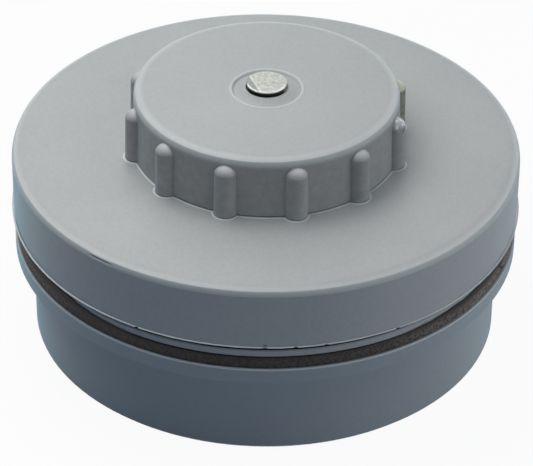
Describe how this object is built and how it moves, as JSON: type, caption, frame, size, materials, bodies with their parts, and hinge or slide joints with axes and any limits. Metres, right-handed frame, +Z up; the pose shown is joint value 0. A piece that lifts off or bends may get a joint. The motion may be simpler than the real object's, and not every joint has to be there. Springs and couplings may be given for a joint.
{
  "type": "pipe access plug",
  "caption": "Drain access plug: a spigot body with a rubber ring, and a lid that a ribbed hand knob screws down on a fixed central bolt.",
  "frame": {"origin": "on the plug's axis, in the plane of the spigot's free end, on which it stands", "axes": "+Z up along the bolt from the spigot to the knob; +X along one spoke of the spigot body and one rib of the knob"},
  "size_m": [0.1194, 0.1194, 0.0641],
  "materials": {
    "spigot_plastic": "moulded, slate grey",
    "lid_plastic": "moulded satin, light grey",
    "knob_plastic": "moulded satin, light grey",
    "seal_rubber": "matt black, dusty",
    "bolt_seal_rubber": "matt black",
    "bolt_steel": "galvanised, rough cut end",
    "fixing_steel": "zinc plated"
  },
  "bodies": {
    "spigot": {"spigot_body": "spigot_plastic", "seal_ring": "seal_rubber", "bolt": "bolt_steel", "bolt_washer": "fixing_steel", "bolt_lock_nut": "fixing_steel"},
    "lid": {"lid": "lid_plastic"},
    "knob": {"knob": "knob_plastic", "knob_nut": "fixing_steel", "bolt_seal": "bolt_seal_rubber"}
  },
  "joints": [
    {"name": "lid_lift", "type": "slide", "parent": "spigot", "child": "lid", "axis": [0, 0, 1], "range_m": [0, 0.0255]},
    {"name": "knob_turn", "type": "hinge", "parent": "lid", "child": "knob", "pos_m": [0, 0, 0.0435], "axis": [0, 0, 1], "range_deg": [0, 6120]}
  ],
  "couplings": [
    {"joint": "knob_turn", "follows": "lid_lift", "rad_per_m": 4188.8}
  ]
}
